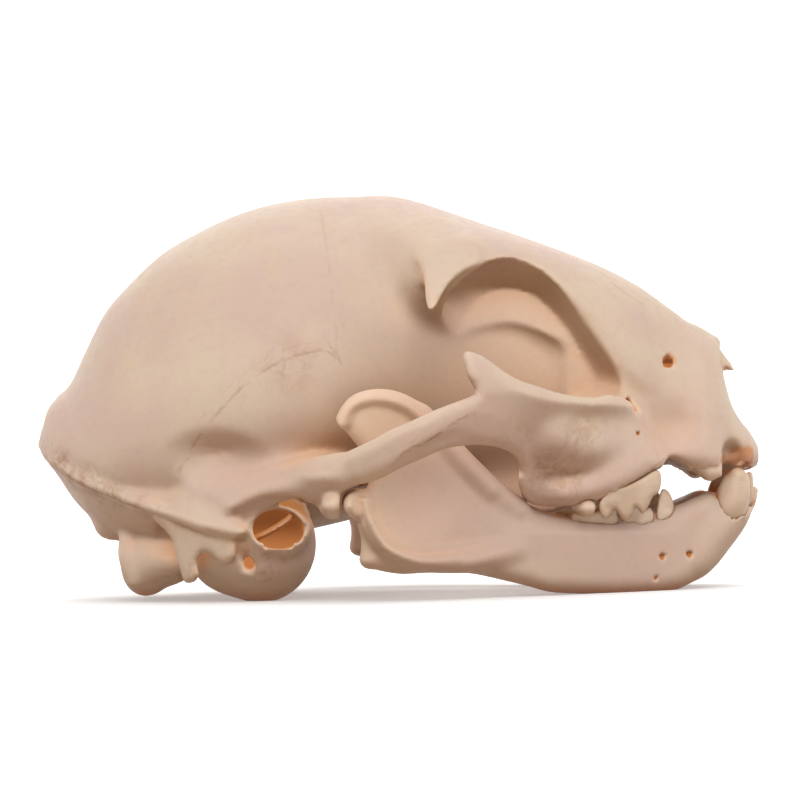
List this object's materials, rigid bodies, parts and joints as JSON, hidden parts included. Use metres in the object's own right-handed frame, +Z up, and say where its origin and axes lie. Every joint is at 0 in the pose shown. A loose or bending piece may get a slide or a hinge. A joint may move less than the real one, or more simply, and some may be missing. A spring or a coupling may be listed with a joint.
{
  "type": "wild cat skull",
  "caption": "Dry skull of a small wild cat: domed braincase, cheek arches, nose and ear openings, lower jaw resting closed with its teeth.",
  "frame": {"origin": "middle of the skull's length and width, on the surface it rests on", "axes": "+X from the nape to the muzzle, +Y to the animal's left, +Z up as the skull rests on its ear bulbs and lower jaw"},
  "size_m": [0.0899, 0.0632, 0.0496],
  "materials": {
    "bone": "dry matt bone",
    "enamel": "soft satin tooth enamel"
  },
  "bodies": {
    "root": {"cranium": "bone", "mandible_left": "bone", "mandible_right": "bone", "upper_canine_left": "enamel", "upper_canine_right": "enamel", "upper_carnassial_left": "enamel", "upper_carnassial_right": "enamel", "upper_molar_left": "enamel", "upper_molar_right": "enamel", "lower_canine_left": "enamel", "lower_canine_right": "enamel", "lower_front_premolar_left": "enamel", "lower_front_premolar_right": "enamel", "lower_rear_premolar_left": "enamel", "lower_rear_premolar_right": "enamel", "lower_molar_left": "enamel", "lower_molar_right": "enamel", "lower_inner_incisor_left": "enamel", "lower_inner_incisor_right": "enamel", "lower_middle_incisor_left": "enamel", "lower_middle_incisor_right": "enamel", "lower_outer_incisor_left": "enamel", "lower_outer_incisor_right": "enamel"}
  },
  "joints": []
}
